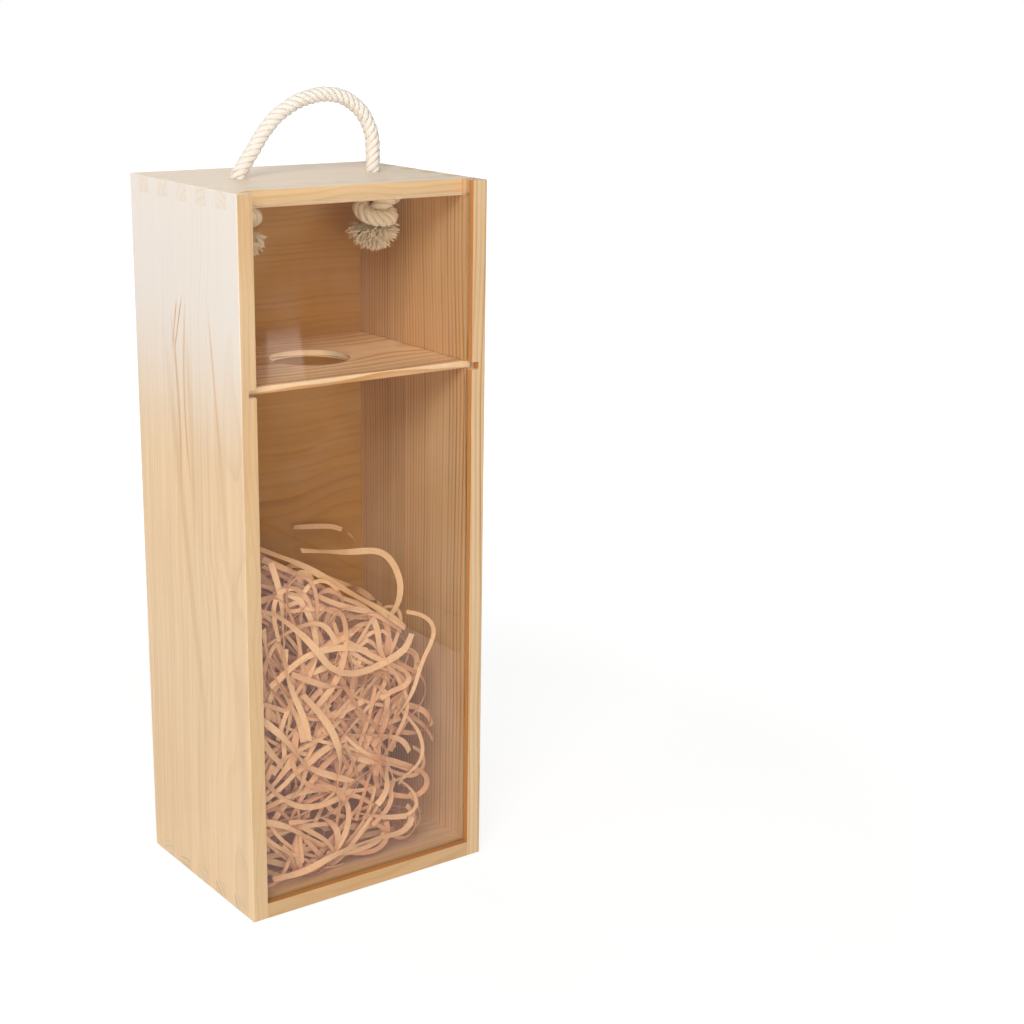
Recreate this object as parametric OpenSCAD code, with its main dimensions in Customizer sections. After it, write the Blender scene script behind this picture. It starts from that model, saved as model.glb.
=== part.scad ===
// Tall pine bottle box: finger-jointed boards, a clear cover that slides up in grooves, a thin shelf
// that steadies the bottle's neck, a twisted rope handle knotted under the top and a nest of paper.
// Origin: the middle of the footprint, on the surface that the box stands on. The front faces -Y.

/* [Box] */
// Width of the box across the outer faces of the side boards
box_w = 136; // [120:1:170]
// Depth of the box from the front edges to the back
box_d = 107; // [104:1:130]
// Height of the box from the underside to the top face
box_h = 355; // [340:1:400]
// Thickness of the side, top and bottom boards
board_t = 8; // [7:0.5:10]
// Fingers that the top and bottom boards push through each side board
finger_pairs = 5; // [4:1:5]
// Glue line on each side of a finger
glue_gap = 0.05; // [0.02:0.01:0.1]

/* [Back panel] */
// Thickness of the back panel, which is also the depth of its rabbet
panel_t = 4; // [3:0.5:5]
// How far the rabbet reaches under the back panel's edges
rabbet_w = 4; // [3:0.5:5]
// Gap round the edges of the back panel
panel_clear = 0.1; // [0.05:0.05:0.3]

/* [Sliding cover] */
// Thickness of the clear cover
cover_t = 2; // [1.5:0.1:2.5]
// Front wall left in front of the cover's groove
lip_t = 3.4; // [2.5:0.1:4]
// Depth of the groove in each side board
groove_depth = 4; // [3:0.5:5]
// Depth of the groove in the bottom board
foot_groove_depth = 3; // [2:0.5:4]
// Running gap in front of and behind the cover
cover_face_clear = 0.2; // [0.1:0.05:0.3]
// Running gap at each side edge of the cover
cover_edge_clear = 0.3; // [0.2:0.05:0.5]
// How far the cover's top edge lies under the top of the box
cover_top_drop = 6; // [3:0.5:12]

/* [Neck shelf] */
// Thickness of the shelf
shelf_t = 3.5; // [3:0.5:5]
// Height of the shelf's upper face above the surface that the box stands on
shelf_top = 266; // [255:1:275]
// Depth of the dado that holds the shelf in each side board
dado_depth = 4; // [3:0.5:5]
// Gap over the shelf in its dado and at each of its ends
dado_clear = 0.2; // [0.1:0.05:0.4]
// Gap between the shelf's front edge and the back of the cover
shelf_front_gap = 0.8; // [0.5:0.1:2]
// Diameter of the hole for the bottle's neck
neck_hole_d = 40; // [34:1:44]
// Distance from the front of the box to the middle of the neck hole
neck_hole_y = 54.4; // [52:0.1:58]

/* [Rope handle] */
// Diameter of the rope
rope_d = 7; // [6:0.5:8]
// Clearance of the rope in its hole, across the diameter
rope_hole_clear = 1; // [0.6:0.1:2]
// Distance between the middles of the two rope holes
rope_span = 76; // [70:1:84]
// How far the pair of rope holes sits to the right of the middle
rope_shift = 2; // [0:0.5:4]
// Distance from the front of the box to the rope holes
rope_y = 58.4; // [52:0.1:64]
// Height of the arch from the top of the box to the rope's centre line
arch_rise = 38; // [34:0.5:46]
// Bend radius of the arch on its right side
arch_r_right = 26; // [24:0.5:28]
// Bend radius of the arch on its left side
arch_r_left = 45; // [41:0.5:48]
// How far the left leg of the arch leans inwards from the middle of its hole
arch_lean = 2; // [1:0.1:2.5]

/* [Rope knots] */
// Radius of the knot where it is fattest
knot_r = 13; // [9:0.5:15]
// Height of the knot under the top board
knot_h = 16; // [13:0.5:18]
// Length of the frayed end under the knot
tuft_len = 20; // [14:1:26]
// Radius of the frayed end at its tip
tuft_r = 14; // [10:0.5:16]

/* [Paper filler] */
// Gap between the filler and the boards and cover round it
filler_gap = 0.3; // [0.2:0.05:0.6]
// Depth of paper under the bottle
filler_floor = 9; // [6:0.5:14]
// Height of the filler along its left wall
filler_left_h = 196; // [150:1:215]
// Height of the filler along its right wall
filler_right_h = 148; // [120:1:190]
// Diameter of the space that the paper leaves for the bottle
bottle_space_d = 80; // [76:1:84]

/* [Hidden] */
$fn = 96;
// Overshoot of a cutting tool past the face it opens
over = 1;

side_x = box_w / 2;
inner_x = side_x - board_t;
front_y = -box_d / 2;
back_y = box_d / 2;
finger_count = 2 * finger_pairs + 1;
finger_w = box_d / finger_count;

groove_y = front_y + lip_t;
groove_w = cover_t + 2 * cover_face_clear;
groove_floor_z = board_t - foot_groove_depth;
cover_w = 2 * (inner_x + groove_depth - cover_edge_clear);
cover_y = groove_y + cover_face_clear;
cover_h = box_h - cover_top_drop - groove_floor_z;

panel_y = back_y - panel_t;
panel_x = inner_x + rabbet_w;
panel_bottom = board_t - rabbet_w;
panel_top = box_h - board_t + rabbet_w;

shelf_x = inner_x + dado_depth - dado_clear;
shelf_front = cover_y + cover_t + shelf_front_gap;
shelf_bottom = shelf_top - shelf_t;
dado_top = shelf_top + dado_clear;

rope_left = rope_shift - rope_span / 2;
rope_right = rope_shift + rope_span / 2;
rope_line = front_y + rope_y;
rope_r = rope_d / 2;
// The arch tips about a line one rope radius above the top board
pivot_z = box_h + rope_r;
arch_left = rope_left + arch_lean;
arch_top = box_h + arch_rise;
apex_x = rope_right - arch_r_right;
right_centre_z = arch_top - arch_r_right;
left_centre_z = arch_top - arch_r_left;
// The left leg runs straight from its pivot until it touches the left bend
lean_dx = apex_x - arch_left;
lean_dz = left_centre_z - pivot_z;
lean_dist = sqrt(lean_dx * lean_dx + lean_dz * lean_dz);
leg_len = sqrt(lean_dist * lean_dist - arch_r_left * arch_r_left);
leg_angle = atan2(lean_dz, lean_dx) + asin(arch_r_left / lean_dist);

// Stations along the arch, each as [x, z, heading above +X, radius of the rope there]
arch_sides = 12;
cap_turns = [80, 60, 35];
arch_start = [
    for (t = cap_turns)
        [
            arch_left - rope_r * sin(t) * cos(leg_angle),
            pivot_z - rope_r * sin(t) * sin(leg_angle),
            leg_angle,
            rope_r * cos(t)
        ]
];
arch_leg = [
    for (s = [0 : 0.2 : 0.8])
        [arch_left + s * leg_len * cos(leg_angle), pivot_z + s * leg_len * sin(leg_angle), leg_angle, rope_r]
];
arch_left_bend = [
    for (t = [0 : 0.1 : 0.9])
        let (turn = 90 + leg_angle * (1 - t))
            [
                apex_x + arch_r_left * cos(turn),
                left_centre_z + arch_r_left * sin(turn),
                turn - 90,
                rope_r
            ]
];
arch_right_bend = [
    for (t = [0 : 0.1 : 1])
        let (turn = 90 * (1 - t))
            [
                apex_x + arch_r_right * cos(turn),
                right_centre_z + arch_r_right * sin(turn),
                turn - 90,
                rope_r
            ]
];
arch_end = concat(
    [[rope_right, (right_centre_z + pivot_z) / 2, -90, rope_r], [rope_right, pivot_z, -90, rope_r]],
    [for (i = [2 : -1 : 0]) [rope_right, pivot_z - rope_r * sin(cap_turns[i]), -90, rope_r * cos(cap_turns[i])]]
);
arch_rings = concat(arch_start, arch_leg, arch_left_bend, arch_right_bend, arch_end);

knot_top = box_h - board_t;
knot_bottom = knot_top - knot_h;
tuft_tip = knot_bottom - tuft_len;

filler_x = inner_x - filler_gap;
filler_front = cover_y + cover_t + filler_gap;
filler_back = panel_y - filler_gap;
bottle_y = front_y + neck_hole_y;

// Slots of one finger's width that start at slot number `first`, every second one, along the depth
module finger_slots(first, x0, x1, z0, z1, grow) {
    for (i = [first : 2 : finger_count - 1])
        translate([x0, front_y + i * finger_w - grow, z0])
            cube([x1 - x0, finger_w + 2 * grow, z1 - z0]);
}

// Side board on the left, with every cut that the other pieces need in it
module side_board() {
    difference() {
        translate([-side_x, front_y, 0])
            cube([board_t, box_d, box_h]);
        finger_slots(1, -side_x - over, -inner_x + over, -over, board_t, glue_gap);
        finger_slots(1, -side_x - over, -inner_x + over, box_h - board_t, box_h + over, glue_gap);
        translate([-inner_x - groove_depth, groove_y, groove_floor_z])
            cube([groove_depth + over, groove_w, box_h]);
        translate([-inner_x - dado_depth, front_y - over, shelf_bottom])
            cube([dado_depth + over, panel_y - front_y + over, dado_top - shelf_bottom]);
        translate([-panel_x, panel_y, panel_bottom])
            cube([rabbet_w + over, panel_t + over, panel_top - panel_bottom]);
    }
}

module left_side_board() {
    color("#e9cda0")
        side_board();
}

module right_side_board() {
    color("#e3c08c")
        mirror([1, 0, 0])
            side_board();
}

module top_board() {
    color("#dcc5a2")
        difference() {
            union() {
                translate([-inner_x, front_y + finger_w, box_h - board_t])
                    cube([2 * inner_x, box_d - finger_w, board_t]);
                finger_slots(1, -side_x, side_x, box_h - board_t, box_h, 0);
            }
            for (x = [rope_left, rope_right])
                translate([x, rope_line, box_h - board_t - over])
                    cylinder(d = rope_d + rope_hole_clear, h = board_t + 2 * over);
            translate([-panel_x, panel_y, box_h - board_t - over])
                cube([2 * panel_x, panel_t + over, rabbet_w + over]);
        }
}

module bottom_board() {
    color("#e2bf8b")
        difference() {
            union() {
                translate([-inner_x, front_y, 0])
                    cube([2 * inner_x, box_d, board_t]);
                finger_slots(1, -side_x, side_x, 0, board_t, 0);
            }
            translate([-inner_x - over, groove_y, groove_floor_z])
                cube([2 * inner_x + 2 * over, groove_w, foot_groove_depth + over]);
            translate([-panel_x, panel_y, panel_bottom])
                cube([2 * panel_x, panel_t + over, rabbet_w + over]);
        }
}

module back_panel() {
    color("#c99f6b")
        translate([-panel_x + panel_clear, panel_y, panel_bottom])
            cube([2 * (panel_x - panel_clear), panel_t, panel_top - panel_clear - panel_bottom]);
}

module neck_shelf() {
    color("#d8ad74")
        difference() {
            translate([-shelf_x, shelf_front, shelf_bottom])
                cube([2 * shelf_x, panel_y - shelf_front, shelf_t]);
            translate([0, bottle_y, shelf_bottom - over])
                cylinder(d = neck_hole_d, h = shelf_t + 2 * over);
        }
}

module sliding_cover() {
    color("#c9d2d6", 0.35)
        translate([-cover_w / 2, cover_y, groove_floor_z])
            cube([cover_w, cover_t, cover_h]);
}

// The arch is one tube: straight left leg, left bend, right bend, straight right leg, round ends
module rope_handle() {
    rings = len(arch_rings);
    points = [
        for (ring = arch_rings)
            for (k = [0 : arch_sides - 1])
                let (turn = 360 * k / arch_sides, off = ring[3] * cos(turn))
                    [
                        ring[0] - off * sin(ring[2]),
                        rope_line + ring[3] * sin(turn),
                        ring[1] + off * cos(ring[2])
                    ]
    ];
    walls = [
        for (i = [0 : rings - 2])
            for (k = [0 : arch_sides - 1])
                let (a = i * arch_sides + k, b = i * arch_sides + (k + 1) % arch_sides)
                    [a, a + arch_sides, b + arch_sides, b]
    ];
    first = [for (k = [0 : arch_sides - 1]) k];
    last = [for (k = [arch_sides - 1 : -1 : 0]) (rings - 1) * arch_sides + k];
    color("#f1e9dc")
        polyhedron(points = points, faces = concat([first], walls, [last]), convexity = 4);
}

// One knotted end: the rope in its hole, the knot against the board and the frayed end below it
module rope_knot(x) {
    waist_r = rope_r * 1.2;
    translate([x, rope_line, 0]) {
        translate([0, 0, knot_top - rope_r])
            cylinder(r = rope_r, h = board_t + rope_r);
        intersection() {
            translate([0, 0, knot_top - knot_h / 2])
                sphere(r = knot_r);
            translate([0, 0, knot_bottom])
                cylinder(r = knot_r + over, h = knot_h);
        }
        translate([0, 0, tuft_tip + rope_r])
            cylinder(r1 = tuft_r, r2 = waist_r, h = tuft_len);
        translate([0, 0, tuft_tip])
            cylinder(r1 = tuft_r * 0.8, r2 = tuft_r, h = rope_r);
    }
}

module rope_knot_left() {
    color("#efe6d6")
        rope_knot(rope_left);
}

module rope_knot_right() {
    color("#efe6d6")
        rope_knot(rope_right);
}

// The nest of paper: it lines the floor and walls and leaves the middle free for a bottle
module paper_filler() {
    color("#e6b98c")
        difference() {
            translate([0, filler_back, 0])
                rotate([90, 0, 0])
                    linear_extrude(filler_back - filler_front)
                        polygon([
                            [-filler_x, board_t],
                            [filler_x, board_t],
                            [filler_x, filler_right_h],
                            [-filler_x, filler_left_h]
                        ]);
            translate([0, bottle_y, board_t + filler_floor])
                cylinder(d = bottle_space_d, h = box_h);
        }
}

left_side_board();
right_side_board();
top_board();
bottom_board();
back_panel();
neck_shelf();
sliding_cover();
rope_handle();
rope_knot_left();
rope_knot_right();
paper_filler();
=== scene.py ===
"""Wooden wine box: what each piece looks like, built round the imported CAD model.

Sizes in the settings are metres, and the frame is the CAD model's own: the front faces -Y, Z is up,
and the box stands on z = 0. Routes and other small tables in this file are written in millimetres.
"""

import math

import bpy
import numpy as np
from bpy.props import FloatProperty, FloatVectorProperty, IntProperty, PointerProperty
from mathutils import Matrix, Vector


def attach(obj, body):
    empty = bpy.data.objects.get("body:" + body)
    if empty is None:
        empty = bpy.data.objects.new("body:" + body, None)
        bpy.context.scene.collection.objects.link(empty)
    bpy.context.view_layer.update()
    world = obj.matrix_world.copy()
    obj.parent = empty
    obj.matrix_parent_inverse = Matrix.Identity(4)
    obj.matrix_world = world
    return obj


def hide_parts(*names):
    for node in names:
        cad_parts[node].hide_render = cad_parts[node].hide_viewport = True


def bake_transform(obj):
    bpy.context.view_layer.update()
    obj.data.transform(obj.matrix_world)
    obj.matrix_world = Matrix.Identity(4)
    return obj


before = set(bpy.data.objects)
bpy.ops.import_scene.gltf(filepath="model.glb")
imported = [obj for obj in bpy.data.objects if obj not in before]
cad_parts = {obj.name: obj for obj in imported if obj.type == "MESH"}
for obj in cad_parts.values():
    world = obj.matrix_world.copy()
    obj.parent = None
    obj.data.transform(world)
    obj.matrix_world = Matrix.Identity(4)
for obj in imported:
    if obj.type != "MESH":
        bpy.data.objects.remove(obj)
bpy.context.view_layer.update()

bl_info = {
    "name": "Wooden wine box",
    "version": (1, 0, 0),
    "blender": (4, 5, 0),
    "location": "3D View > Sidebar > Wine Box",
    "description": "Builds a pine wine box with a clear sliding cover, a rope handle and a nest of paper",
    "category": "Add Mesh",
}

MM = 0.001


# ---------------------------------------------------------------- settings


def linear(colour):
    """An sRGB hex colour, such as "E6CCAE", as the linear RGBA that shaders take."""
    parts = [int(colour[i : i + 2], 16) / 255 for i in (0, 2, 4)]
    return tuple(p / 12.92 if p <= 0.04045 else ((p + 0.055) / 1.055) ** 2.4 for p in parts) + (1.0,)


def colour_setting(name, description, value):
    return FloatVectorProperty(
        name=name, description=description, subtype="COLOR", size=4, min=0, max=1, default=linear(value)
    )


def length_setting(name, description, value, low, high):
    """A length that a user would change, given here in millimetres."""
    return FloatProperty(
        name=name, description=description, default=value * MM, min=low * MM, max=high * MM,
        unit="LENGTH", subtype="DISTANCE",
    )


def power_setting(name, description, value):
    return FloatProperty(name=name, description=description, default=value, min=0, max=100, unit="POWER")


class WineBoxPine(bpy.types.PropertyGroup):
    early: colour_setting("Early wood", "Pale wood that grows in spring", "F3D6AD")
    late: colour_setting("Late wood", "Amber line that closes each year", "CF9A62")
    heart: colour_setting("Inner wood", "Deeper, redder wood from nearer the middle of the tree", "D79D4E")
    end_grain: colour_setting("End grain", "Wood cut across the grain", "ECD3AF")
    ring: length_setting("Ring width", "Distance between two yearly rings", 2.6, 1, 8)
    eased: length_setting("Eased edge", "Width of the sanded corner along each outer edge", 0.5, 0.1, 1.5)
    gloss: FloatProperty(
        name="Roughness", description="Roughness of the sanded, bare surface", default=0.52, min=0.2, max=1,
        subtype="FACTOR",
    )


class WineBoxCover(bpy.types.PropertyGroup):
    tint: colour_setting("Sheet tint", "Colour that light takes on through the clear sheet", "FEFDFC")
    edge: colour_setting("Edge colour", "Colour of the sawn edges, which gather light", "F4F2EE")
    eased: length_setting("Eased edge", "Width of the scraped corner along each edge", 0.2, 0.05, 0.5)


class WineBoxRope(bpy.types.PropertyGroup):
    cotton: colour_setting("Cotton", "Colour of the bleached cotton yarn", "F7F2EA")
    # The cotton shade is painted shade, down between the yarns
    shade: colour_setting("Cotton shade", "Colour down between the yarns", "E4D8C6")
    # Painted shade in the crease where the strands of the rope meet
    painted_crease_shade: colour_setting("Groove", "Colour where the strands of the rope meet", "BE9468")
    # Painted light: a brighter, warmer copy of the cotton and of its painted shade, for the knots under the top board
    painted_light_cotton: colour_setting("Cream cotton", "Colour of the cotton under the top board", "FFF6DC")
    painted_light_cotton_shade: colour_setting("Cream shade", "Colour down between the yarns under the top board", "EBCFA0")
    diameter: length_setting("Diameter", "Diameter of the laid rope", 7, 5, 9)
    pitch: length_setting("Lay length", "Length in which a strand goes once round the rope", 14.4, 10, 30)
    strands: IntProperty(name="Strands", description="Number of strands in the rope", default=4, min=3, max=5)
    fuzz: IntProperty(
        name="Fuzz", description="Loose fibres that stand off each centimetre of rope", default=110, min=0, max=400
    )


class WineBoxPaper(bpy.types.PropertyGroup):
    pale: colour_setting("Paper", "Colour of the paler strips", "FBD4A2")
    rosy: colour_setting("Paper, rosier", "Colour of the rosier strips", "E4AA7E")
    swept: IntProperty(
        name="Swept strips", description="Number of strips in the layer behind the cover", default=98, min=20, max=300
    )
    strips: IntProperty(
        name="Fallen strips", description="Number of strips round the hollow", default=64, min=20, max=400
    )
    width: length_setting("Strip width", "Usual width of a cut strip", 3, 2, 6)
    seed: IntProperty(name="Seed", description="Starting number for how the strips fall", default=11, min=0)


class WineBoxStage(bpy.types.PropertyGroup):
    floor: colour_setting("Floor", "Colour of the floor and the air above it", "FFFFFF")
    room: FloatProperty(name="Room light", description="Light that comes from all round", default=0.22, min=0, max=2)
    key: power_setting("Main lamp", "Power of the large lamp left of the front", 14.8)
    side: power_setting("Side lamp", "Power of the small lamp above the left side", 0.6)
    rear: power_setting("Rear lamp", "Power of the wide lamp behind the box", 9.0)
    front: power_setting("Front lamp", "Power of the low lamp before the front", 7.2)


SETTINGS = {
    "winebox_pine": WineBoxPine,
    "winebox_cover": WineBoxCover,
    "winebox_rope": WineBoxRope,
    "winebox_paper": WineBoxPaper,
    "winebox_stage": WineBoxStage,
}


# ---------------------------------------------------------------- shared making


def node_adder(tree):
    """Clears a shader tree, and gives the one function that adds nodes to it."""
    tree.nodes.clear()

    def add(kind, *inputs, stops=(), **settings):
        """Adds one node with its settings, and with each input either linked or set.

        A kind such as "Math ADD" names the node's operation too. Inputs come in the order in which Blender
        shows them, or by name in a dictionary. A node given as an input links its first output. A colour ramp
        has stops, each a place and a colour.
        """
        kind, *operation = kind.split()
        made = tree.nodes.new("ShaderNode" + kind)
        if operation:
            made.operation = operation[0]
        for key, value in settings.items():
            setattr(made, key, value)
        if stops:
            ramp = made.color_ramp.elements
            ramp.remove(ramp[1])
            ramp[0].position, ramp[0].color = stops[0]
            for place, colour in stops[1:]:
                ramp.new(place).color = colour
        if inputs and isinstance(inputs[0], dict):
            pairs = [(made.inputs[key], value) for key, value in inputs[0].items()]
        else:
            pairs = zip([socket for socket in made.inputs if socket.enabled], inputs)
        for socket, value in pairs:
            if isinstance(value, bpy.types.Node):
                value = next(output for output in value.outputs if output.enabled)
            if isinstance(value, bpy.types.NodeSocket):
                tree.links.new(value, socket)
            else:
                socket.default_value = value
        return made

    return add


def new_material(name):
    material = bpy.data.materials.new(name)
    material.use_nodes = True
    return material, node_adder(material.node_tree)


def only(piece):
    """Leaves one object selected and active, in object mode."""
    bpy.ops.object.select_all(action="DESELECT")
    piece.select_set(True)
    bpy.context.view_layer.objects.active = piece


def in_edit_mode(piece, *calls):
    """Runs mesh operators on all of a piece, each given as (operator, settings)."""
    only(piece)
    bpy.ops.object.mode_set(mode="EDIT")
    bpy.ops.mesh.select_all(action="SELECT")
    for operator, settings in calls:
        operator(**settings)
    bpy.ops.object.mode_set(mode="OBJECT")
    return piece


def copy_of(node):
    """A piece with a CAD node's own shape: its loose triangles merged into whole faces."""
    piece = bpy.data.objects.new(node + "_made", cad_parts[node].data.copy())
    bpy.context.scene.collection.objects.link(piece)
    piece.data.materials.clear()
    return in_edit_mode(
        piece,
        (bpy.ops.mesh.remove_doubles, {"threshold": 0.00001}),
        (bpy.ops.mesh.dissolve_limited, {"angle_limit": math.radians(0.6)}),
    )


def ease_edges(piece, wide, narrow, is_wide):
    """Sands the corners: wide on the edges that is_wide picks by their middle, narrow on the other sharp ones."""
    mesh = piece.data
    weight = mesh.attributes.new("bevel_weight_edge", "FLOAT", "EDGE")
    sides = {}
    for face in mesh.polygons:
        for key in face.edge_keys:
            sides.setdefault(key, []).append(face.normal)
    for edge in mesh.edges:
        near = sides.get(tuple(sorted(edge.vertices)), [])
        if len(near) == 2 and near[0].dot(near[1]) < 0.85:
            a, b = (mesh.vertices[i].co for i in edge.vertices)
            weight.data[edge.index].value = 1.0 if is_wide(a, b) else narrow / wide
    only(piece)
    bevel = piece.modifiers.new("Eased edges", "BEVEL")
    bevel.limit_method = "WEIGHT"
    bevel.width = wide
    bevel.segments = 2
    bevel.use_clamp_overlap = True
    bevel.miter_outer = "MITER_ARC"
    bpy.ops.object.modifier_apply(modifier=bevel.name)
    bpy.ops.object.shade_smooth_by_angle(angle=math.radians(30))
    # The broad faces stay flat to light and mirror: only the eased edges turn
    flat = piece.modifiers.new("Flat faces", "WEIGHTED_NORMAL")
    flat.weight = 100
    flat.keep_sharp = True
    bpy.ops.object.modifier_apply(modifier=flat.name)
    return piece


def dress(piece, node, slot, *materials, also_solid=True):
    """Gives a finished piece its materials, which the solid may take too, and hides the solid that it stands for."""
    for shape in (piece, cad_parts[node])[: 1 + also_solid]:
        shape.data.materials.clear()
        for material in materials:
            shape.data.materials.append(material)
    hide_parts(node)


def unit(v):
    return v / np.maximum(np.linalg.norm(v, axis=-1, keepdims=True), 1e-12)


def square_to(t, v):
    """The directions v, turned until they stand square to the directions t."""
    return unit(v - np.sum(v * t, 1)[:, None] * t)


def run_along(line):
    """How far along a line each of its points is."""
    return np.r_[0, np.cumsum(np.linalg.norm(np.diff(line, axis=0), axis=1))]


def even_route(points, spacing):
    """A smooth line near these points, with its own points evenly spaced."""
    p = np.array(points, float)
    p = np.vstack([2 * p[0] - p[1], p, 2 * p[-1] - p[-2]])
    line = []
    for i in range(len(p) - 3):
        for t in np.arange(0, 1, 0.1):
            w = np.array([(1 - t) ** 3, 3 * t**3 - 6 * t**2 + 4, -3 * t**3 + 3 * t**2 + 3 * t + 1, t**3]) / 6
            line.append(w @ p[i : i + 4])
    line.append((p[-3] + 4 * p[-2] + p[-1]) / 6)
    line = np.array(line)
    run = run_along(line)
    at = np.linspace(0, run[-1], max(2, int(round(run[-1] / spacing)) + 1))
    return np.column_stack([np.interp(at, run, line[:, k]) for k in range(3)])


def carried_frames(line):
    """Directions along a line and two across it that turn with it and never spin round it."""
    t = unit(np.gradient(line, axis=0))
    n = np.zeros_like(t)
    n[0] = np.cross(t[0], (0.0, 1.0, 0.0) if abs(t[0][1]) < 0.9 else (1.0, 0.0, 0.0))
    n[0] = unit(n[0] - n[0].dot(t[0]) * t[0])
    for i in range(1, len(t)):
        n[i] = unit(n[i - 1] - n[i - 1].dot(t[i]) * t[i])
    return t, n, np.cross(t, n)


class Shell:
    """Points and faces in millimetres that grow tube by tube into one mesh."""

    def __init__(self):
        self.points, self.faces, self.uv, self.tint, self.count = [], [], [], [], 0

    def tube(self, rings, uv, tint=0.5):
        """Joins equal rings of points into a closed tube. rings is stations by sides by 3."""
        stations, sides = rings.shape[:2]
        base = self.count
        self.points.append(rings.reshape(-1, 3))
        self.uv.append(uv.reshape(-1, 2))
        self.tint.append(np.full(stations * sides, tint))
        i, k = np.meshgrid(np.arange(stations - 1), np.arange(sides), indexing="ij")
        a, b = base + i * sides + k, base + i * sides + (k + 1) % sides
        self.faces += np.stack([a, b, b + sides, a + sides], -1).reshape(-1, 4).tolist()
        self.faces.append([base + k for k in reversed(range(sides))])
        self.faces.append([base + (stations - 1) * sides + k for k in range(sides)])
        self.count += stations * sides

    def piece(self, name):
        """The finished mesh piece in metres, with one UV and one tint for each point."""
        mesh = bpy.data.meshes.new(name)
        mesh.from_pydata((np.vstack(self.points) * MM).tolist(), [], self.faces)
        piece = bpy.data.objects.new(name, mesh)
        bpy.context.scene.collection.objects.link(piece)
        corners = np.zeros(len(mesh.loops), int)
        mesh.loops.foreach_get("vertex_index", corners)
        uv = np.vstack(self.uv).astype(np.float32)
        mesh.uv_layers.new(name="UVMap").data.foreach_set("uv", uv[corners].ravel())
        tint = np.concatenate(self.tint).astype(np.float32)
        mesh.attributes.new("tint", "FLOAT", "POINT").data.foreach_set("value", tint)
        mesh.validate()
        in_edit_mode(piece, (bpy.ops.mesh.normals_make_consistent, {"inside": False}))
        return piece


# ---------------------------------------------------------------- studio


def rays_that_show(add):
    """The rays by which a thing is seen: straight, in gloss or through a clear sheet. Also the gloss alone."""
    rays = add("LightPath")
    gloss = rays.outputs["Is Glossy Ray"]
    seen = add("Math MAXIMUM", rays.outputs["Is Camera Ray"], gloss)
    return add("Math MAXIMUM", seen, rays.outputs["Is Transmission Ray"]), gloss


def white_air(look):
    """White air: plain white to the eye, and a much weaker light on the box."""
    world = bpy.context.scene.world or bpy.data.worlds.new("Studio air")
    bpy.context.scene.world = world
    world.use_nodes = True
    add = node_adder(world.node_tree)
    seen, _ = rays_that_show(add)
    lit = add("Background", look.floor, look.room)
    shown = add("Background", look.floor, 1.0)
    add("OutputWorld", add("MixShader", seen, lit, shown))


def white_floor(look):
    """Matt white paper, rolled: it shows as plain white, and takes the box's soft shadow."""
    material, add = new_material("Matt white paper, rolled")
    seen, gloss = rays_that_show(add)
    where = add("TexCoord").outputs["Object"]
    x, y, _ = add("SeparateXYZ", where).outputs
    # Near the box 3 parts in 10 of what shows are lit, so the box keeps its soft shadow
    far = add("VectorMath LENGTH", where)
    plain = add("MapRange", far, 0.3, 0.8, 0.72, 1.0)
    plain = add("Math MULTIPLY", plain, seen)
    matt = add("BsdfDiffuse", linear("F2F1EF"))
    floor = add("MixShader", plain, matt, add("Emission", look.floor, 1.16))
    # Painted reflection, seen only by gloss, for the clear sheet to mirror: white paper up to 0.23 m right of the
    # box, and grey ground with two dark joints beyond it
    places = (0.0, "F0DDE2"), (0.2310, "1C1917"), (0.2360, "8A817B"), (0.2750, "1C1917"), (0.280, "8A817B")
    ground = add("ValToRGB", x, stops=[(place, linear(colour)) for place, colour in places])
    ground.color_ramp.interpolation = "CONSTANT"
    # Also a narrow pale patch, 0.05 m wide, that glows up to half again brighter than white: a painted reflection
    # that shows in the sheet above the shelf
    aside = add("Math ADD", add("Math MULTIPLY_ADD", y, 0.554, x), 0.050)
    away = add("Math ADD", y, 1.30)
    wide, long = (
        add("MapRange", add("Math ABSOLUTE", offset), outer, inner, interpolation_type="SMOOTHSTEP")
        for offset, outer, inner in ((aside, 0.028, 0.022), (away, 0.20, 0.07))
    )
    patch = add("Math MULTIPLY", wide, long)
    ground = add("Mix", patch, ground, linear("FFF8F2"), data_type="RGBA")
    bright = add("MapRange", patch, 0.0, 1.0, 1.0, 1.5)
    painted_reflection = add("Emission", ground, bright)
    add("OutputMaterial", add("MixShader", gloss, floor, painted_reflection))
    return material


def area_lamp(name, place, aim, size, power, colour):
    bpy.ops.object.light_add(type="AREA", location=place)
    lamp = bpy.context.object
    lamp.name = name
    lamp.rotation_euler = (Vector(aim) - Vector(place)).to_track_quat("-Z", "Y").to_euler()
    lamp.data.shape = "RECTANGLE"
    lamp.data.size, lamp.data.size_y = size
    lamp.data.energy = power
    lamp.data.color = linear(colour)[:3]
    return lamp


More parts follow.
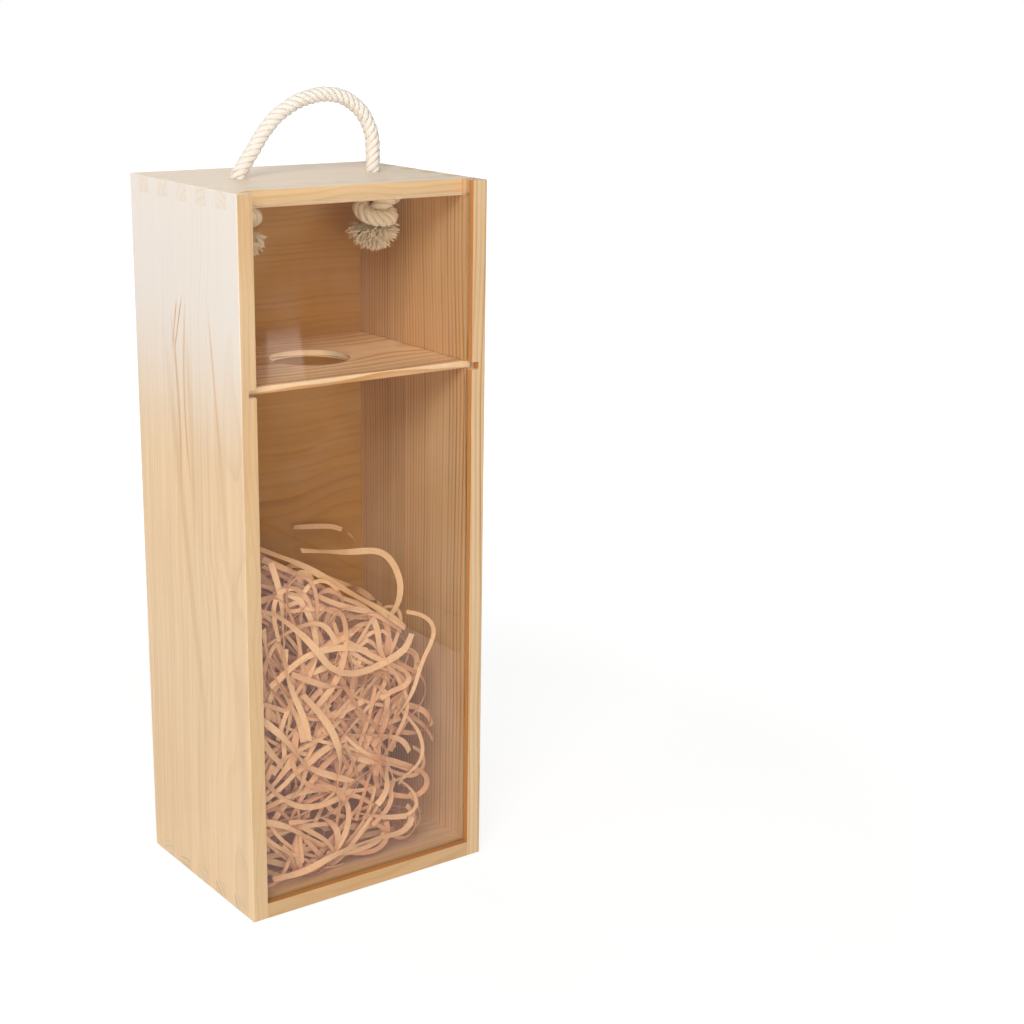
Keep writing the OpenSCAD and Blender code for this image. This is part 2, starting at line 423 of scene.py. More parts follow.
class WINEBOX_OT_stage(bpy.types.Operator):
    """Make the white floor, the lamps and the camera"""

    bl_idname = "winebox.stage"
    bl_label = "Stage"

    def execute(self, context):
        look = context.scene.winebox_stage
        white_air(look)
        bpy.ops.object.select_all(action="DESELECT")
        bpy.ops.mesh.primitive_plane_add(size=14, location=(0, 0, -0.0003))
        floor = context.object
        floor.name = "studio_floor"
        bpy.ops.object.transform_apply(location=True, rotation=False, scale=False)
        floor.data.materials.append(white_floor(look))

        area_lamp("main_lamp", (-0.90, -1.00, 1.15), (0.0, 0.0, 0.18), (0.7, 0.7), look.key, "FFFDFA")
        area_lamp("side_lamp", (-0.55, 0.10, 0.80), (-0.07, 0.0, 0.32), (0.35, 0.35), look.side, "FFFFFF")
        area_lamp("rear_lamp", (-0.1, 1.3, 0.5), (0.0, 0.0, 0.3), (1.8, 0.8), look.rear, "FFFFFF")
        # The front lamp fills the inside of the box, and the wood inside doesn't mirror it
        front = area_lamp("front_lamp", (-0.42, -1.45, 0.33), (0.0, 0.0, 0.18), (0.9, 0.5), look.front, "FFFCF8")
        front.visible_glossy = False

        # The camera stands left of the front, a little above the top, and is turned by a degree
        turn, down, roll = math.radians(36.86), math.radians(15.89), math.radians(0.95)
        forward = Vector((math.sin(turn) * math.cos(down), math.cos(turn) * math.cos(down), -math.sin(down)))
        level = Vector((math.cos(turn), -math.sin(turn), 0))
        up = level.cross(forward)
        right = math.cos(roll) * level + math.sin(roll) * up
        top = -math.sin(roll) * level + math.cos(roll) * up
        bpy.ops.object.camera_add(location=(-0.4596, -0.7814, 0.4447))
        camera = context.object
        camera.name = "studio_camera"
        stands = Matrix((right, top, -forward)).transposed().to_4x4()
        stands.translation = camera.location.copy()
        camera.matrix_world = stands
        camera.data.sensor_width = 36
        camera.data.lens = 64.97
        camera.data.clip_start = 0.01
        context.scene.camera = camera
        context.scene.view_settings.view_transform = "Standard"
        return {"FINISHED"}


# ---------------------------------------------------------------- rope


def cotton(name, top, shade, painted_crease_shade):
    """Bleached cotton, spun and laid: matt and soft, with the yarns of each strand showing as fine cords."""
    material, add = new_material(name)
    where = add("TexCoord").outputs["Object"]
    round_part, along, _ = add("SeparateXYZ", add("UVMap", uv_map="UVMap")).outputs
    # 9 yarns round a strand of 3 mm, which lie back along the rope: 1.5 yarns pass in each millimetre
    turn = add("Math MULTIPLY", along, 1.5 / MM)
    turn = add("Math MULTIPLY_ADD", round_part, 9.0, turn)
    loose = add("TexNoise", where, 900.0, 2.0)
    turn = add("Math MULTIPLY_ADD", loose, 0.7, turn)
    turn = add("Math MULTIPLY", turn, 2 * math.pi)
    yarn = add("MapRange", add("Math SINE", turn), -1.0, 1.0)
    # Single fibres are about 0.02 mm, too fine to show, so they are drawn 0.1 mm across
    fibre = add("TexNoise", where, 4200.0, 3.0, 0.6)
    height = add("Math MULTIPLY_ADD", fibre, 0.6, yarn)
    depth = add("Math MULTIPLY", height, 1.1, use_clamp=True)
    # Painted shade: the cotton takes the shade colour where the yarn pattern is low, down between the yarns
    colour = add("Mix", depth, shade, top, data_type="RGBA")
    # Painted shade: where the strands meet, in the crease between them, the cotton is painted darker
    side = add("Math SUBTRACT", round_part, 0.5)
    side = add("Math ABSOLUTE", side)
    side = add("MapRange", side, 0.12, 0.29, 0.0, 0.95, interpolation_type="SMOOTHSTEP")
    colour = add("Mix", side, colour, painted_crease_shade, data_type="RGBA")
    bump = add("Bump", {"Strength": 0.4, "Distance": 0.15 * MM, "Height": height})
    skin = add("BsdfPrincipled", {
        "Base Color": colour, "Roughness": 0.92, "IOR": 1.5, "Normal": bump, "Specular IOR Level": 0.2,
        "Sheen Weight": 0.25, "Sheen Roughness": 0.5,
        "Subsurface Weight": 0.15, "Subsurface Radius": (1.2 * MM, 1.0 * MM, 0.8 * MM),
    })
    add("OutputMaterial", skin)
    return material


# The rope's two holes through the top board, and that board's underside, in millimetres
HOLE_LEFT, HOLE_RIGHT, HOLES_Y, UNDERSIDE = -36.0, 40.0, 4.9, 346


def arch_route():
    """Middle line of the handle: out of the left hole, over the arch and into the right hole. As in the part."""
    left, right, y = HOLE_LEFT, HOLE_RIGHT, HOLES_Y
    leg = math.radians(54.0)
    route = [(left, y, 347.6), (left, y, 350), (left, y, 352.4), (left + 0.3, y, 354.8), (left + 0.9, y, 356.8)]
    for s in 19.7 * np.linspace(0.02, 0.95, 9):
        route.append((left + 2 + s * math.cos(leg), y, 358.5 + s * math.sin(leg)))
    # The long left bend, the tight right one and the straight right leg
    for middle, radius, first, last, count in ((348, 45, 144, 93, 19), (367, 26, 90, 0, 21)):
        for a in np.radians(np.linspace(first, last, count)):
            route.append((14 + radius * math.cos(a), y, middle + radius * math.sin(a)))
    return route + [(right, y, z) for z in np.linspace(365, 347.6, 9)]


# Middle line of a hand-tied overhand knot, from the rope's hole to its tail, in millimetres.
# Here the board's underside is at 8, and the knot hangs from it down to -8.
KNOT = (
    (0.1, -0.1, 14.5), (0.1, -0.1, 11.1), (0.2, -0.1, 7.6), (0.9, -0.7, 4.5), (2.9, -2.3, 2.2), (3.5, -4.3, -0.5),
    (2.4, -6.8, -2.5), (-0.1, -8.5, -4.0), (-3.4, -9.2, -4.5), (-6.6, -8.2, -4.5), (-8.9, -5.7, -4.3),
    (-9.9, -2.5, -3.5), (-9.3, 0.7, -2.3), (-7.2, 3.1, -1.1), (-4.2, 4.4, -0.3), (-0.8, 4.7, 0.0), (2.7, 4.7, 0.1),
    (5.9, 3.9, 0.7), (8.5, 1.9, 1.8), (9.8, -1.0, 3.0), (9.5, -4.3, 4.0), (7.8, -7.2, 4.5), (4.9, -9.0, 4.5),
    (1.5, -8.9, 4.4), (-1.4, -7.7, 3.3), (-3.3, -5.5, 1.4), (-3.3, -3.1, -1.0), (-2.0, -1.4, -3.6),
    (-0.2, -0.2, -6.1), (-0.1, -0.1, -9.5),
)


def lay_strands(shell, line, look, phase=0.0, swell=None):
    """Lays the strands of a rope along a line: right-hand lay, each strand a soft round cord."""
    radius = look.diameter / MM / 2
    strand = radius / (1 + math.sqrt(2))
    _, n, b = carried_frames(line)
    run = run_along(line)
    swell = np.ones(len(line)) if swell is None else swell
    sides = 20
    # The round of the pattern starts on the inner side, where its seam is hidden
    round_part = np.arange(sides) / sides
    around = math.pi + round_part * 2 * math.pi
    for k in range(look.strands):
        turn = 2 * math.pi * (run / (look.pitch / MM) + k / look.strands) + phase
        out = np.cos(turn)[:, None] * n + np.sin(turn)[:, None] * b
        middle = line + out * (strand * math.sqrt(2) * swell)[:, None]
        along = unit(np.gradient(middle, axis=0))
        out = square_to(along, out)
        across = np.cross(along, out)
        thick = strand * (1 + 0.05 * np.sin(run * 0.9 + 2.1 * k) + 0.03 * np.sin(run * 2.3 + 1.3 * k)) * swell
        # Strands press flat against each other and stay round outside
        wide = 1.10 + 0.05 * np.cos(2 * around)
        ring = (
            middle[:, None]
            + (thick[:, None] * (np.cos(around) * 1.12)[None])[..., None] * out[:, None]
            + (thick[:, None] * (np.sin(around) * wide)[None])[..., None] * across[:, None]
        )
        uv = np.stack(np.broadcast_arrays(round_part[None], run[:, None] * MM), -1)
        shell.tube(ring, uv)


def stand_fuzz(shell, line, look, chance):
    """Loose fibres that stand off the rope, each a hair three sides round."""
    t, n, b = carried_frames(line)
    for _ in range(int(look.fuzz * run_along(line)[-1] / 10)):
        i = chance.integers(2, len(line) - 2)
        a = chance.uniform(0, 2 * math.pi)
        out = math.cos(a) * n[i] + math.sin(a) * b[i]
        root = line[i] + out * (look.diameter / MM / 2 - 0.35)
        heading = unit(0.55 * out + 0.9 * chance.normal(size=3) * 0.6 + 0.4 * t[i])
        bend = chance.normal(size=3) * 0.5
        hair(shell, root, heading, bend, chance.uniform(0.5, 1.9), 0.035, 4)


def hair(shell, root, heading, bend, length, thick, stations, sides=3, curl=0.0, tint=0.5, blunt=False):
    """One fibre from root, bending as it goes. It tapers to a point, or is a lock with a round, blunt end."""
    s = np.linspace(0, 1, stations)[:, None]
    line = root + (heading * s + bend * s**2 * 0.6) * length
    if curl:
        _, n, b = carried_frames(line)
        phase = s * length / 5.5 * 2 * math.pi + tint * 40
        line = line + curl * s**0.5 * (np.cos(phase) * n + np.sin(phase) * b)
    _, n, b = carried_frames(line)
    around = (np.arange(sides) * 2 * math.pi / sides)[None, :, None]
    taper = 1 - 0.75 * s**2
    if blunt:
        taper = np.sqrt(np.clip(1 - ((s - 0.8) / 0.2).clip(0, 1) ** 2, 0.02, 1)) * (0.75 + 0.35 * s)
    size = (thick * taper)[..., None]
    ring = line[:, None] + size * (np.cos(around) * n[:, None] + np.sin(around) * b[:, None])
    # A fibre is one yarn or less, so the pattern of the yarns stands still on it at their crest
    shell.tube(ring, np.tile((17 / 36, 0), (stations, sides, 1)), tint)


class WINEBOX_OT_rope_handle(bpy.types.Operator):
    """Lay the rope handle over its arch, from hole to hole"""

    bl_idname = "winebox.rope_handle"
    bl_label = "Rope Handle"

    def execute(self, context):
        look = context.scene.winebox_rope
        line = even_route(arch_route(), 0.5)
        shell = Shell()
        lay_strands(shell, line, look)
        stand_fuzz(shell, line, look, np.random.default_rng(3))
        rope = shell.piece("rope_handle_laid")
        only(rope)
        bpy.ops.object.shade_smooth()
        material = cotton("Bleached cotton, spun and laid", look.cotton, look.shade, look.painted_crease_shade)
        dress(rope, "rope_handle", "cotton_rope", material, also_solid=False)
        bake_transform(rope)
        float(run_along(line)[-1]) * MM
        return {"FINISHED"}


def tie_knot(name, node, hole_x, turn, seed, look, material):
    """One end of the rope: down its hole, a loose overhand knot against the board, and a frayed tail."""
    chance = np.random.default_rng(seed)
    c, s = math.cos(turn), math.sin(turn)
    route = []
    for x, y, z in KNOT:
        # A knot tied by hand is a tenth wider and a seventh longer than a tight one
        z = z if z > 8 else 1.15 * z
        route.append((hole_x + 1.1 * (c * x - s * y), HOLES_Y + 1.1 * (s * x + c * y), UNDERSIDE - 8 + z))
    line = even_route(route, 0.5)
    shell = Shell()
    lay_strands(shell, line, look, phase=seed, swell=np.clip(1 + (UNDERSIDE - line[:, 2]) * 0.02, 1, 1.12))
    stand_fuzz(shell, line, look, chance)
    tail = np.array([hole_x, HOLES_Y, UNDERSIDE - 19])
    # The tail comes unlaid at once: its yarns stand out all round and down, and fine fibres fuzz them over
    yarns, golden_angle = 300, 2.39996
    for i in range(yarns):
        spread = (i + 0.5) / yarns
        a = i * golden_angle
        lean = math.radians(84) * spread**0.62
        out = np.array([math.cos(a), math.sin(a), 0.0])
        heading = unit(out * math.sin(lean) + np.array([0, 0, -math.cos(lean)]) + chance.normal(size=3) * 0.10)
        root = tail + out * spread * 3.2 + np.array([0, 0, 2.0 * spread])
        bend = np.array([0, 0, -0.22]) * spread + chance.normal(size=3) * 0.12
        reach = chance.uniform(9.5, 11.8) * (1.04 - 0.12 * spread)
        thick, curl, tint = chance.uniform(0.34, 0.62), chance.uniform(0.2, 0.6), chance.uniform()
        hair(shell, root, heading, bend, reach, thick, 12, 5, curl, tint, blunt=True)
    for _ in range(3300):
        lean = math.radians(95) * math.sqrt(chance.uniform())
        a = chance.uniform(0, 2 * math.pi)
        away = np.array([math.cos(a) * math.sin(lean), math.sin(a) * math.sin(lean), -math.cos(lean)])
        root = tail + away * chance.uniform(4.0, 10.2) + np.array([0, 0, 1.0])
        heading = unit(away * 0.9 + chance.normal(size=3) * 0.7)
        bend, reach, tint = chance.normal(size=3) * 0.5, chance.uniform(1.4, 3.2), chance.uniform()
        hair(shell, root, heading, bend, reach, 0.07, 5, 3, 0.3, tint)
    knot = shell.piece(name)
    only(knot)
    bpy.ops.object.shade_smooth()
    dress(knot, node, "cotton_rope", material, also_solid=False)
    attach(knot, "box")


class WINEBOX_OT_rope_knots(bpy.types.Operator):
    """Tie and fray the two ends of the rope under the top board"""

    bl_idname = "winebox.rope_knots"
    bl_label = "Rope Knots"

    def execute(self, context):
        look = context.scene.winebox_rope
        # Painted light: under the board the knots get a brighter, warmer copy of the cotton, for the warm light that
        # the wood inside the box bounces on them
        material = cotton("Cotton with painted light, spun and laid", look.painted_light_cotton, look.painted_light_cotton_shade, look.painted_light_cotton_shade)
        tie_knot("knot_left_tied", "rope_knot_left", HOLE_LEFT, math.radians(200), 21, look, material)
        tie_knot("knot_right_tied", "rope_knot_right", HOLE_RIGHT, math.radians(35), 5, look, material)
        return {"FINISHED"}


# ---------------------------------------------------------------- wood

# How much of a face's direction points straight at the front, from not yet a front edge to fully one
SQUARELY = (0.7, 0.95)


def pine(
    name, look, grain, pith, seed, ring=1.0, contrast=1.0, seam=None, tilt=0.0, wander=1.0, streaks=(), bright=1.0,
    dull=0.17, warm=0.0, front=0.35, bleach=None, lip=None, shine=0.5,
):
    """Pine, sawn, planed and sanded, left bare: matt, pale, with amber lines where each year's growth ends.

    grain is the axis that the grain follows. pith is where the middle of the tree would be, in millimetres
    across the board: the lines are broad and arched in front of it, and fine and straight away from it.
    warm and front say how much inner wood shows on the broad faces and on the narrow front edges.
    """
    material, add = new_material(name)
    where = add("TexCoord")
    place = add("SeparateXYZ", where.outputs["Object"]).outputs
    face = add("SeparateXYZ", where.outputs["Normal"]).outputs
    across, other, along = {"Z": (0, 1, 2), "X": (1, 2, 0)}[grain]
    b, g = place[other], place[along]
    if seam is not None:
        # A seam is where two strips are glued into one board: the far strip comes from another tree
        far = add("Math GREATER_THAN", b, seam * MM)
        b = add("Math MULTIPLY_ADD", far, 0.137, b)
        g = add("Math MULTIPLY_ADD", far, 0.7, g)
    leaning = add("Math MULTIPLY_ADD", g, tilt, b)
    log = add("CombineXYZ", place[across], leaning, g)
    moved = add("VectorMath ADD", log, (seed, seed * 0.7, seed * 1.3))

    def figure(cells_across, cells_along, detail=2.0, roughness=0.5):
        """A cloudy pattern, drawn out along the grain: so many cells in a metre across it and along it."""
        drawn = add("VectorMath MULTIPLY", moved, (cells_across, cells_across, cells_along))
        return add("TexNoise", drawn, 1.0, detail, roughness)

    # The stem wanders: 7 mm aside over a length of 150 mm
    drift = figure(4, 7, roughness=0.45)
    centred = add("VectorMath SUBTRACT", drift.outputs["Color"], (0.5, 0.5, 0.5))
    aside = add("VectorMath MULTIPLY", centred, (0.030 * wander, 0.030 * wander, 0.0))
    stem = add("VectorMath SUBTRACT", log, (pith[0] * MM, pith[1] * MM, 0))
    stem = add("VectorMath ADD", stem, aside)
    flat = add("VectorMath MULTIPLY", stem, (1, 1, 0))
    radius = add("VectorMath LENGTH", flat)
    years = add("Math DIVIDE", radius, look.ring * ring)
    # Small waves in the lines, 0.5 mm over 12 mm across and 90 mm along, and wide years beside narrow ones
    years = add("Math MULTIPLY_ADD", figure(80, 11), 0.9 * wander, years)
    uneven = add("TexNoise", years, 0.31, 1.0, noise_dimensions="1D")
    years = add("Math MULTIPLY_ADD", uneven, 2.2 * wander, years)
    year = add("Math FLOOR", years)
    season = add("Math FRACT", years)
    # Spring wood turns slowly to the dark summer line, which ends at once
    growth = (0.0, 0.05), (0.35, 0.0), (0.62, 0.22), (0.86, 0.9), (0.95, 1.0), (1.0, 0.12)
    line = add("ValToRGB", season, stops=[(part, (level, level, level, 1)) for part, level in growth])
    strong = add("TexWhiteNoise", year, noise_dimensions="1D")
    strength = add("MapRange", strong, 0.0, 1.0, 0.25 * contrast, 0.85 * contrast)
    late = add("Math MULTIPLY", line, strength)
    # The lines fade in and out along the board
    fade = add("MapRange", figure(45, 9), 0.3, 0.7, 0.35, 1.15)
    late = add("Math MULTIPLY", late, fade, use_clamp=True)

    # Fibres are 0.03 mm across, too fine to show: drawn 0.3 mm across and 35 mm long
    fibre = figure(3200, 30, roughness=0.6)
    # Resin canals: short dark dashes, 0.4 mm across and 6 mm long
    canal = add("MapRange", figure(1500, 130, detail=1.0), 0.66, 0.8)
    # Streaks of growth 5 mm across and 150 mm long, and broad clouds of colour
    streak = figure(210, 6, detail=3.0, roughness=0.55)
    cloud = add("TexNoise", moved, 14.0, 2.0)

    # The narrow front edges are cut along the rays, which gives them a warmer colour, in soft patches
    facing = add("Math MULTIPLY", face[1], -1.0)
    edge = add("MapRange", facing, *SQUARELY, warm, front)
    patchy = add("MapRange", cloud, 0.38, 0.62, 0.72, 1.08)
    edge = add("Math MULTIPLY", edge, patchy, use_clamp=True)
    spring = add("Mix", edge, look.early, look.heart, data_type="RGBA")
    summer = add("Mix", edge, look.late, linear("97602B"), data_type="RGBA")
    wood = add("Mix", late, spring, summer, data_type="RGBA")
    rosy = add("MapRange", cloud, 0.35, 0.75, 0.0, 0.25)
    wood = add("Mix", rosy, wood, linear("DFB07C"), data_type="RGBA")
    if lip:
        # Painted shade: the narrow strip before the cover, down by the groove, is painted a deep amber
        before = add("MapRange", place[1], -47.0 * MM, -48.5 * MM)
        inward = add("Math MULTIPLY", face[lip[0]], lip[1], use_clamp=True)
        amber = add("Math MULTIPLY", before, inward, use_clamp=True)
        wood = add("Mix", amber, wood, linear("C07C3C"), data_type="RGBA")
    # Fibres, streaks and canals darken and lighten the wood by a few parts in a hundred, and the narrow front
    # edges have been handled, so they are a little darker than the broad faces
    tone = add("MapRange", fibre, 0.25, 0.75, 0.95, 1.04)
    tones = [
        add("MapRange", streak, 0.3, 0.7, 0.93, 1.04),
        add("Math MULTIPLY_ADD", canal, -0.10, 1.0),
        add("MapRange", facing, *SQUARELY, bright, bright * (1 - dull)),
    ]
    if seam is not None:
        gap = add("Math SUBTRACT", place[other], seam * MM)
        gap = add("Math ABSOLUTE", gap)
        tones.append(add("Math MULTIPLY_ADD", far, -0.14, 1.0))
        tones.append(add("MapRange", gap, 0.0, 0.35 * MM, 0.80, 1.0))
    for other_tone in tones:
        tone = add("Math MULTIPLY", tone, other_tone)
    toned = add("VectorMath SCALE", wood, tone)

    # End grain drinks the light: darker, with the same rings and no long fibres
    end = add("Math ABSOLUTE", face[along])
    end = add("MapRange", end, 0.75, 0.95)
    cross = add("Mix", late, look.end_grain, linear("A8743F"), data_type="RGBA")
    pores = add("TexNoise", where.outputs["Object"], 2600.0, 2.0)
    pores = add("MapRange", pores, 0.3, 0.7, 0.88, 1.08)
    cross = add("VectorMath SCALE", cross, pores)
    colour = add("Mix", end, toned, cross, data_type="RGBA")
    if bleach:
        # Painted sheen: the upper third is painted paler on its left and upper faces, where light glosses it most
        high = add("MapRange", place[2], 0.210, 0.305, interpolation_type="SMOOTHSTEP")
        leftward = add("Math MULTIPLY", face[0], -bleach[0], use_clamp=True)
        upward = add("Math MULTIPLY", face[2], bleach[1], use_clamp=True)
        pale = add("Math ADD", leftward, upward)
        pale = add("Math MULTIPLY", pale, high)
        spared = add("MapRange", late, 0.0, 1.0, 1.0, 0.55)
        pale = add("Math MULTIPLY", pale, spared)
        colour = add("Mix", pale, colour, linear("EDE8E2"), data_type="RGBA")
    for y0, z0, slope, curve, width, amount, reach in streaks:
        rise = add("Math SUBTRACT", place[2], z0 * MM)
        lean = add("Math MULTIPLY_ADD", rise, curve / MM, slope)
        centre = add("Math MULTIPLY_ADD", rise, lean, y0 * MM)
        away = add("Math SUBTRACT", place[1], centre)
        away = add("Math ABSOLUTE", away)
        near = add("MapRange", away, width * MM, 0.0, interpolation_type="SMOOTHSTEP")
        ends = add("Math ABSOLUTE", rise)
        ends = add("MapRange", ends, reach * MM, reach * 0.4 * MM, interpolation_type="SMOOTHSTEP")
        mark = add("Math MULTIPLY", near, ends)
        mark = add("Math MULTIPLY", mark, amount)
        mark = add("Math MULTIPLY", mark, streak)
        colour = add("Mix", mark, colour, linear("D09E60"), data_type="RGBA")

    height = add("Math MULTIPLY_ADD", late, 0.8, fibre)
    height = add("Math MULTIPLY_ADD", canal, -0.8, height)
    bump = add("Bump", {"Strength": 0.35, "Distance": 0.06 * MM, "Height": height})
    rough = add("MapRange", late, 0.0, 1.0, look.gloss + 0.06, look.gloss - 0.06)
    skin = add("BsdfPrincipled", {
        "Base Color": colour, "Roughness": rough, "IOR": 1.5, "Normal": bump, "Specular IOR Level": shine,
    })
    add("OutputMaterial", skin)
    return material


# Marks in the left side board: the place of each middle, how it leans and bends, half its width, its strength
# and its half length, in millimetres
STREAKS = (
    (5, 176, 0.153, 0.0, 5.0, 0.6, 120),
    (10.9, 288, -0.25, 0.0, 1.0, 1.8, 15),
    (7.3, 288, -0.34, 0.0, 1.0, 1.8, 17),
    (9.2, 250, 0.06, 0.0015, 2.0, 1.3, 48),
    (3.0, 255, 0.0, -0.002, 1.5, 1.2, 54),
    (-3.0, 235, 0.03, 0.0, 4.5, 0.6, 60),
    (-28.0, 262, 0.12, 0.0, 1.5, 0.9, 44),
    (-33.0, 215, 0.10, 0.0, 5.0, 0.5, 50),
)


# The wooden box itself, without its rope: the planes of its six faces, in metres
BOX_PLANES = ((0, -0.068), (0, 0.068), (1, -0.0535), (1, 0.0535), (2, 0.0), (2, 0.355))


def on_box_edge(a, b):
    """True for an edge that runs along one of the box's twelve outer corners."""
    return sum(abs(a[axis] - plane) < 0.1 * MM and abs(b[axis] - plane) < 0.1 * MM for axis, plane in BOX_PLANES) >= 2


def wooden_piece(node, slot, title, look, grain, pith, seed, narrow=0.12, **figure):
    """One board with its outer corners sanded and its joints left nearly sharp, in pine of its own."""
    piece = ease_edges(copy_of(node), look.eased, narrow * MM, on_box_edge)
    dress(piece, node, slot, pine(title, look, grain, pith, seed, **figure))
    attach(piece, "box")


class WINEBOX_OT_boards(bpy.types.Operator):
    """Make the four finger-jointed boards and the back panel"""

    bl_idname = "winebox.boards"
    bl_label = "Boards"

    def execute(self, context):
        look = context.scene.winebox_pine
        wooden_piece(
            "left_side_board", "side_pine", "Pine side board, left, sanded", look, "Z", (-40, -41), 3.1,
            ring=1.15, contrast=0.42, tilt=0.03, streaks=STREAKS, front=0.34, bleach=(0.85, 0.3),
        )
        wooden_piece(
            "right_side_board", "side_pine", "Pine side board, right, sanded", look, "Z", (38, -70), 7.7,
            ring=0.95, contrast=1.8, seam=6, wander=0.2, bright=1.04, warm=0.46, front=0.20, shine=0.25,
            lip=(0, -0.85),
        )
        wooden_piece(
            "top_board", "top_pine", "Pine top board, sanded", look, "X", (-30, 330), 1.9,
            ring=1.3, contrast=0.6, dull=0.07, front=0.46, bleach=(0.62, 0.42),
        )
        wooden_piece(
            "bottom_board", "bottom_pine", "Pine bottom board, sanded", look, "X", (20, -25), 5.3,
            ring=1.3, contrast=0.6, bright=0.93, warm=0.40, front=0.48, shine=0.3, lip=(2, 0.95),
        )
        # Painted shade: the back panel is painted darker, and its inner face, which faces the front, takes the full
        # inner-wood colour, for the shade inside the box
        wooden_piece(
            "back_panel", "panel_pine", "Pine back panel, sanded", look, "X", (95, 150), 9.4,
            ring=1.5, contrast=0.48, bright=0.78, dull=0.0, warm=0.35, front=1.05, shine=0.2,
        )
        return {"FINISHED"}


class WINEBOX_OT_neck_shelf(bpy.types.Operator):
    """Make the thin shelf with the round hole"""

    bl_idname = "winebox.neck_shelf"
    bl_label = "Neck Shelf"

    def execute(self, context):
        # Painted light: the shelf is painted brighter, for the light that falls on it from above the front
        wooden_piece(
            "neck_shelf", "shelf_pine", "Pine neck shelf, sanded", context.scene.winebox_pine, "X", (8, 212), 12.6,
            narrow=0.35, ring=1.1, contrast=3.0, bright=1.20, dull=0.08, front=0.0, shine=0.25,
        )
        return {"FINISHED"}


# ---------------------------------------------------------------- cover


def clear_sheet(look):
    """Clear acrylic, cast and polished: it only shows by the white studio that it mirrors and a little dust."""
    material, add = new_material("Clear acrylic, cast and polished")
    where = add("TexCoord").outputs["Object"]
    # Each of the two faces mirrors a twenty-fifth of the light, and more of it at a slant
    slant = add("LayerWeight", 0.5).outputs["Facing"]
    slant = add("Math POWER", slant, 5.0)
    mirror = add("Math MULTIPLY_ADD", slant, 0.96, 0.04)
    through = add("BsdfTransparent", look.tint)
    gloss = add("BsdfAnisotropic", {"Color": (1, 1, 1, 1), "Roughness": 0.006})
    sheet = add("MixShader", mirror, through, gloss)
    # Dust and wiping marks, 1 to 20 mm across, cover a part or two in a hundred of the sheet
    wipe = add("TexNoise", where, 50.0, 6.0, 0.65)
    wipe = add("MapRange", wipe, 0.45, 0.85, 0.002, 0.018)
    speck = add("TexVoronoi", where, 260.0)
    speck = add("MapRange", speck, 0.05, 0.02, 0.0, 0.22)
    dust = add("Math ADD", wipe, speck, use_clamp=True)
    film = add("BsdfDiffuse", linear("F3F1EE"))
    add("OutputMaterial", add("MixShader", dust, sheet, film))
    return material


def sawn_edge(look):
    """Clear acrylic, sawn and scraped: a frosted edge that gathers light and shows as a white line."""
    material, add = new_material("Clear acrylic, sawn edge")
    marks = add("TexNoise", add("TexCoord").outputs["Object"], 900.0, 2.0)
    bump = add("Bump", {"Strength": 0.3, "Distance": 0.1 * MM, "Height": marks})
    skin = add("BsdfPrincipled", {"Base Color": look.edge, "Roughness": 0.35, "IOR": 1.49, "Normal": bump})
    frost = add("BsdfTranslucent", look.edge, bump)
    add("OutputMaterial", add("MixShader", 0.45, skin, frost))
    return material


class WINEBOX_OT_sliding_cover(bpy.types.Operator):
    """Make the clear cover that slides up out of its grooves"""

    bl_idname = "winebox.sliding_cover"
    bl_label = "Sliding Cover"

    def execute(self, context):
        look = context.scene.winebox_cover
        cover = ease_edges(copy_of("sliding_cover"), look.eased, look.eased, lambda a, b: True)
        dress(cover, "sliding_cover", "clear_acrylic", clear_sheet(look), sawn_edge(look))
        for face in cover.data.polygons:
            face.material_index = 0 if abs(face.normal.y) > 0.9 else 1
        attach(cover, "cover")
        return {"FINISHED"}


# ---------------------------------------------------------------- paper


def cut_paper(look):
    """Sulphite paper, dyed and cut into strips: matt, thin enough to glow where light comes through."""
    material, add = new_material("Sulphite paper, dyed and cut in strips")
    rosiness = add("Attribute", attribute_name="tint").outputs["Fac"]
    colour = add("Mix", rosiness, look.pale, look.rosy, data_type="RGBA")
    # Pulp clouds of 2 mm and single fibres of 0.2 mm
    pulp = add("TexNoise", add("TexCoord").outputs["Object"], 500.0, 4.0, 0.65)
    tone = add("MapRange", pulp, 0.3, 0.7, 0.93, 1.06)
    colour = add("VectorMath SCALE", colour, tone)
    bump = add("Bump", {"Strength": 0.25, "Distance": 0.08 * MM, "Height": pulp})
    skin = add("BsdfPrincipled", {"Base Color": colour, "Roughness": 0.62, "IOR": 1.45, "Normal": bump})
    glow = add("BsdfTranslucent", colour, bump)
    add("OutputMaterial", add("MixShader", 0.18, skin, glow))
    return material


def strip(shell, line, broad, width, tint):
    """A thin paper strip along a line. broad is the direction across it, at each point."""
    t = unit(np.gradient(line, axis=0))
    broad = square_to(t, broad)
    out = np.cross(t, broad)
    half, thick = width / 2, 0.07
    corners = [(-half, -thick), (half, -thick), (half, thick), (-half, thick)]
    ring = np.stack([line + w * broad + h * out for w, h in corners], 1)
    uv = np.stack(np.broadcast_arrays(np.array([0, 1, 1, 0.0]), run_along(line)[:, None] * MM), -1)
    shell.tube(ring, uv, tint)


def soften(line, times):
    """Evens out the kinks in a line, in place."""
    for _ in range(times):
        line[1:-1] = 0.5 * line[1:-1] + 0.25 * (line[:-2] + line[2:])


